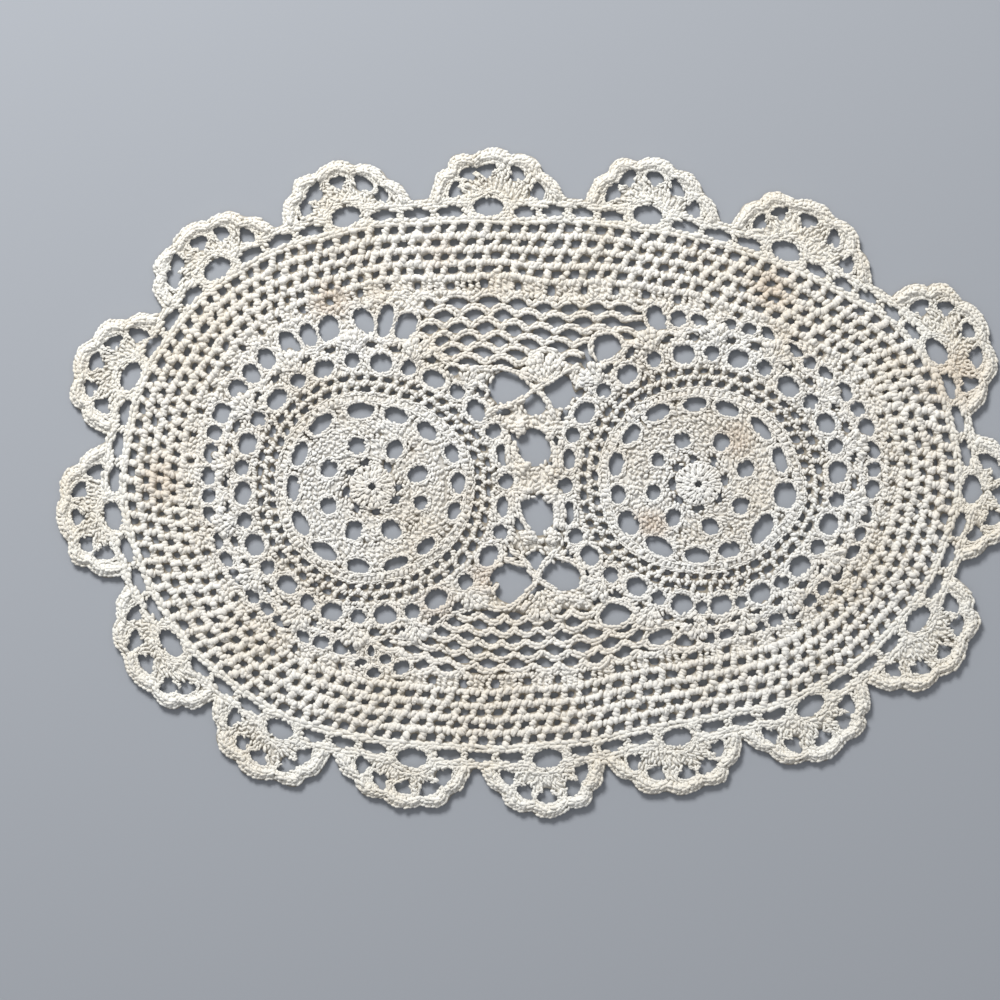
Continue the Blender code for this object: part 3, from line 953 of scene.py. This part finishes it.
def leg_mesh(legs):
    """Points, four-sided and three-sided faces of bent legs with pointed ends."""
    count = len(legs)
    radius, lift, stray = legs[:, 6:7], legs[:, 7], legs[:, 8:9]
    both = stray * chance.normal(0.0, 1.0, (count, 3))
    start = legs[:, 0:3] + both + stray * chance.normal(0.0, 0.6, (count, 3))
    end = legs[:, 3:6] + both + stray * chance.normal(0.0, 0.6, (count, 3))
    radius = radius * chance.normal(1.0, 0.08, (count, 1))
    along = unit(end - start)
    side = unit(np.cross(along, (0.0, 0.0, 1.0)))
    up = np.cross(side, along)
    points = np.empty((count, 2 * LEG_SIDES + 2, 3))
    points[:, 0] = start - along * 0.6 * radius
    points[:, -1] = end + along * 0.6 * radius
    for first, share in zip((1, 1 + LEG_SIDES), LEG_BENDS):
        centre = start + (end - start) * share + along * (share - 0.5) * 0.9 * radius
        centre[:, 2] += lift * 4.0 * share * (1.0 - share)
        for k in range(LEG_SIDES):
            corner = 2.0 * math.pi * k / LEG_SIDES
            reach = side * math.cos(corner) + up * math.sin(corner)
            points[:, first + k] = centre + reach * radius
    quads = []
    triangles = []
    for k in range(LEG_SIDES):
        low, after = 1 + k, 1 + (k + 1) % LEG_SIDES
        quads.append((low, low + LEG_SIDES, after + LEG_SIDES, after))
        triangles.append((0, low, after))
        triangles.append((2 * LEG_SIDES + 1, after + LEG_SIDES, low + LEG_SIDES))
    shift = (np.arange(count) * points.shape[1])[:, None, None]
    return (points.reshape(-1, 3), (np.array(quads) + shift).reshape(-1, 4),
            (np.array(triangles) + shift).reshape(-1, 3))


def neighbours(grid):
    """The four cells that meet at each corner of the grid."""
    wide = np.pad(grid, 1)
    return wide[1:, 1:], wide[:-1, 1:], wide[:-1, :-1], wide[1:, :-1]


def cloth_mesh(work):
    """Thin cloth under the stitches: the cells of a grid near its spots, with soft edges."""
    spots = np.vstack(work.spots)
    low = spots[:, :2].min(axis=0) - 3.0 * CELL
    cells = np.floor((spots[:, :2] - low) / CELL).astype(int)
    grid = np.zeros(cells.max(axis=0) + 4, dtype=bool)
    for step_x in range(-3, 4):
        for step_y in range(-3, 4):
            cell = cells + (step_x, step_y)
            miss = np.hypot(*(low + (cell + 0.5) * CELL - spots[:, :2]).T)
            near = cell[(miss < spots[:, 2]) & (cell >= 0).all(axis=1)]
            grid[near[:, 0], near[:, 1]] = True
    filled = np.argwhere(grid)
    free = filled[work.is_free(low + (filled + 0.5) * CELL, CLOTH_CLEAR)]
    grid[free[:, 0], free[:, 1]] = False

    right_up, left_up, left_down, right_down = neighbours(grid)
    used = right_up | left_up | left_down | right_down
    inner = right_up & left_up & left_down & right_down
    deep = np.logical_and.reduce(neighbours(np.logical_and.reduce(neighbours(inner))))[1:-1, 1:-1]
    level = np.select((deep, inner), CLOTH_LEVELS[:0:-1], CLOTH_LEVELS[0])
    corner = np.stack(np.meshgrid(*(np.arange(n) for n in used.shape), indexing="ij"), axis=2)
    place = low + corner * CELL
    # Edges of the cloth are evened out along themselves.
    edge_x = right_up != right_down     # from a corner to the next along X
    edge_y = right_up != left_up        # and to the next along Y
    for _ in range(3):
        total = np.zeros_like(place)
        count = np.zeros(used.shape)
        for edge, axis in ((edge_x, 0), (edge_y, 1)):
            total += edge[..., None] * np.roll(place, -1, axis)
            total += np.roll(edge[..., None] * place, 1, axis)
            count += edge
            count += np.roll(edge, 1, axis)
        border = count > 0
        place[border] = 0.5 * place[border] + 0.5 * total[border] / count[border][:, None]

    number = np.cumsum(used).reshape(used.shape) - 1
    x, y = np.nonzero(grid)
    quads = np.column_stack((number[x, y], number[x + 1, y], number[x + 1, y + 1],
                             number[x, y + 1]))
    return np.column_stack((place[used], level[used])), quads, np.zeros((0, 3), dtype=int)


def lie(points):
    """The doily's gentle unevenness as it lies: small shifts and low waves."""
    x, y, z = points.T
    wave = np.sin(x / 9.0 + 1.3 * np.sin(y / 14.0)) + np.sin(y / 7.5 + x / 23.0)
    return np.column_stack((x + LIE_SHIFT * np.sin(y / 5.3 + 2.0 * np.sin(x / 17.0)),
                            y + LIE_SHIFT * np.sin(x / 4.7 + 2.0 * np.sin(y / 13.0)),
                            np.maximum(z + LIE_LEVEL + LIE_WAVE * wave, LIE_LOWEST)))


def add_object(name, data, location=(0.0, 0.0, 0.0)):
    thing = bpy.data.objects.new(name, data)
    thing.location = location
    bpy.context.scene.collection.objects.link(thing)
    return thing


def make_piece(name, points, quads, triangles, material, centre):
    """Object from faces in plan millimetres, laid down round the frame's origin."""
    points = (lie(points) - (*centre, 0.0)) * MM
    mesh = bpy.data.meshes.new(name)
    mesh.from_pydata(points, [], quads.tolist() + triangles.tolist())
    mesh.shade_smooth()
    # The plan, scaled into the unit square, is the layout of the UV map OFBake.
    low, high = cad_box
    size = max(high[0] - low[0], high[1] - low[1]) * 1.1
    corners = np.concatenate((quads.ravel(), triangles.ravel()))
    places = points[corners, :2] / size + 0.5
    mesh.uv_layers.new(name="OFBake").data.foreach_set("uv", places.astype(np.float32).ravel())
    mesh.materials.append(material)
    mesh.validate()
    return add_object(name, mesh)


# ---------------- material

COTTON_COLOURS = ((0.81, 0.765, 0.68, 1.0), (0.88, 0.87, 0.83, 1.0))    # aged, clean
STITCH_COLOUR = (0.62, 0.56, 0.47, 1.0)     # each stitch turns towards it by its own share
# Painted shade: the colour the yarn is painted towards down between the stitches, where shade falls.
PAINTED_SHADE_COLOUR = (0.30, 0.265, 0.21, 1.0)
STAIN_COLOUR = (0.62, 0.46, 0.31, 1.0)
STAINS = (                      # x, y, radius in millimetres on the doily, strength
    (-110.7, 0.7, 9.0, 0.30),
    (-60.9, 53.5, 8.0, 0.45),
    (57.7, 12.4, 7.0, 0.35),
    (34.3, -12.5, 6.0, 0.45),
    (68.0, 56.4, 9.0, 0.40),
    (-28.7, 66.7, 8.0, 0.25),
    (-15.5, -27.1, 7.0, 0.35),
    (29.9, -11.0, 5.0, 0.30),
    (122.0, 30.0, 12.0, 0.30),
    (-30.0, -36.0, 8.0, 0.30),
)
SLOTS = {
    "medallion_left": "cotton_medallion",
    "medallion_right": "cotton_medallion",
    "lace_ground": "cotton_ground",
    "shell_edging": "cotton_edging",
}
# Slot: tint, and the heights in millimetres over which painted shade fades out: full at the lower
# one, none above the higher one.
FINISHES = {
    "cotton_medallion": ((1.0, 1.0, 1.0, 1.0), 0.75, 1.5),
    "cotton_ground": ((1.0, 0.99, 0.975, 1.0), 0.7, 1.4),
    "cotton_edging": ((1.0, 0.995, 0.975, 1.0), 0.5, 1.4),
}


class Shading:
    """Nodes of one material, joined as they are added."""

    def __init__(self, name):
        self.material = bpy.data.materials.new(name)
        self.material.use_nodes = True
        self.tree = self.material.node_tree
        self.shader = self.tree.nodes["Principled BSDF"]

    def fill(self, node, inputs):
        """Inputs of a node, by name or number, set to a value or joined to an output."""
        for socket, value in inputs.items():
            if isinstance(value, bpy.types.NodeSocket):
                self.tree.links.new(value, node.inputs[socket])
            else:
                node.inputs[socket].default_value = value

    def node(self, kind, inputs, **settings):
        """The outputs of a new node."""
        node = self.tree.nodes.new("ShaderNode" + kind)
        for key, value in settings.items():
            setattr(node, key, value)
        self.fill(node, inputs)
        return node.outputs

    def blend(self, share, first, second, kind="MIX"):
        """Colour between two, by a share."""
        return self.node("Mix", {0: share, 6: first, 7: second}, data_type="RGBA",
                         blend_type=kind)[2]

    def span(self, value, low, high, start=0.0, end=1.0):
        """A value's range taken to another range."""
        return self.node("MapRange", dict(enumerate((value, low, high, start, end))))["Result"]

    def noise(self, place, **inputs):
        return self.node("TexNoise", {"Vector": place, **inputs})["Fac"]


def cotton(name, tint, painted_shade_low, painted_shade_high):
    """Aged cotton yarn: patches, stains, painted shade in the crevices, uneven stitches and fibre.
    """
    shading = Shading(name)
    place = shading.node("TexCoord", {})["Object"]
    patches = shading.noise(place, Scale=38.0, Detail=4.0)
    colour = shading.blend(shading.span(patches, 0.36, 0.60), *COTTON_COLOURS)
    for x, y, radius, strength in STAINS:
        away = shading.node("VectorMath", {0: place, 1: (x * MM, y * MM, MM)},
                            operation="DISTANCE")["Value"]
        share = shading.span(away, radius * MM, 0.3 * radius * MM, 0.0, strength)
        colour = shading.blend(share, colour, STAIN_COLOUR)
    # Every stitch has a tone of its own.
    island = shading.node("NewGeometry", {})["Random Per Island"]
    colour = shading.blend(shading.span(island, 0.0, 1.0, 0.0, 0.22), colour, STITCH_COLOUR)
    # Painted shade: the lower the yarn lies, down between the stitches and on the cloth under them,
    # the darker it is painted, as if shade fell there.
    height = shading.node("SeparateXYZ", {"Vector": place})["Z"]
    depth = shading.span(height, painted_shade_low * MM, painted_shade_high * MM, 1.0, 0.0)
    colour = shading.blend(depth, colour, PAINTED_SHADE_COLOUR)
    # Fibre on the yarn, as a fine noise bump.
    fibre = shading.noise(place, Scale=1000.0, Detail=3.0, Roughness=0.62)
    bump = shading.node("Bump", {"Height": fibre, "Strength": 0.7, "Distance": 0.32 * MM})
    shading.fill(shading.shader, {
        "Base Color": shading.blend(1.0, colour, tint, "MULTIPLY"),
        "Roughness": shading.span(patches, 0.3, 0.7, 0.82, 0.95),
        "Normal": bump["Normal"],
        "Specular IOR Level": 0.25,
        "Sheen Weight": 0.15,
        "Sheen Roughness": 0.5,
    })
    return shading.material


# ---------------- stage

CAMERA_PLACE = (-11.12 * MM, -5.13 * MM, 0.7)       # it looks straight down
VIEW_WIDTH = 293.0 * MM         # of the floor, across the picture
SENSOR_WIDTH = 36.0
FLOOR_COLOUR = (0.36, 0.38, 0.41, 1.0)
LIGHT_PLACE = (-0.35, 0.8, 0.7)
LIGHT_SIZE = (0.4, 0.3)
LIGHT_POWER = 13.5
SKY_COLOUR = (0.93, 0.95, 1.0, 1.0)
SKY_STRENGTH = 0.40


def make_stage():
    bpy.ops.mesh.primitive_plane_add(size=3.0, location=(0.0, 0.0, 0.0))
    floor = bpy.context.object
    floor.name = "floor"
    shading = Shading("pale_floor")
    shading.fill(shading.shader, {"Base Color": FLOOR_COLOUR, "Roughness": 0.9})
    floor.data.materials.append(shading.material)

    camera = add_object("camera", bpy.data.cameras.new("camera"), CAMERA_PLACE)
    camera.data.sensor_width = SENSOR_WIDTH
    camera.data.lens = SENSOR_WIDTH * CAMERA_PLACE[2] / VIEW_WIDTH
    bpy.context.scene.camera = camera

    light = add_object("window", bpy.data.lights.new("window", "AREA"), LIGHT_PLACE)
    light.data.shape = "RECTANGLE"
    light.data.size, light.data.size_y = LIGHT_SIZE
    light.data.energy = LIGHT_POWER
    light.rotation_euler = (-light.location).to_track_quat("-Z", "Y").to_euler()

    world = bpy.data.worlds.new("studio")
    world.use_nodes = True
    sky = world.node_tree.nodes["Background"]
    sky.inputs["Color"].default_value = SKY_COLOUR
    sky.inputs["Strength"].default_value = SKY_STRENGTH
    bpy.context.scene.world = world
    bpy.context.scene.view_settings.view_transform = "Standard"
    return floor


# ---------------- pieces

def doily_middle(oval):
    """Middle of the box round the shells."""
    fan = np.linspace(-90.0, 90.0, 26)
    outline = np.vstack([Shell(oval, index).inset(fan, 0.0) for index in range(len(SHELLS))])
    return (outline.min(axis=0) + outline.max(axis=0)) / 2.0


def dress(name, node, works, centre):
    """Pieces that stand for a node of the frame: one cloth, and the stitches of each work."""
    material = cotton(name + "_cotton", *FINISHES[SLOTS[node]])
    whole = Work()
    for work in works.values():
        whole.spots += work.spots
    whole.openings = sorted({opening for work in works.values() for opening in work.openings})
    pieces = [make_piece(name + "_cloth", *cloth_mesh(whole), material, centre)]
    for part, work in works.items():
        pieces.append(make_piece(f"{name}_{part}", *leg_mesh(work.all_legs()), material, centre))
    for piece in pieces:
        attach(piece, "root")
        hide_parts(node)
    return pieces


def ground_works(oval, medallions):
    """Mesh rounds, the net round the medallions, and the cords and clusters on it."""
    mesh, cords = Work(), Work()
    net = Work(mesh)
    mesh_rounds(mesh, oval)
    band_round(mesh, oval)
    waist(net, medallions)
    for medallion in medallions:
        outer_trebles(net, oval, medallion)
    loop_rows(net, oval, medallions)
    waist_cords(cords)
    return {"mesh_stitches": mesh, "net_stitches": net, "cords": cords}


def edging_works(oval):
    """Slot round, fans and rims of the shells, cut by each other's openings."""
    slots = Work()
    fans, rims = Work(slots), Work(slots)
    slot_round(slots, oval)
    for index in range(len(SHELLS)):
        shell_work(fans, rims, oval, index)
    return {"slot_stitches": slots, "fan_stitches": fans, "rim_stitches": rims}


def main():
    floor = make_stage()
    oval = Oval()
    centre = doily_middle(oval)
    medallions = {name: Medallion(facts) for name, facts in MEDALLIONS.items()}
    for name, medallion in medallions.items():
        works = {"stitches": medallion_work(medallion)}
        cloth, *others = dress(name + "_lace", name, works, centre)
    works = ground_works(oval, list(medallions.values()))
    ground, *others = dress("ground", "lace_ground", works, centre)
    others += dress("edging", "shell_edging", edging_works(oval), centre)


main()
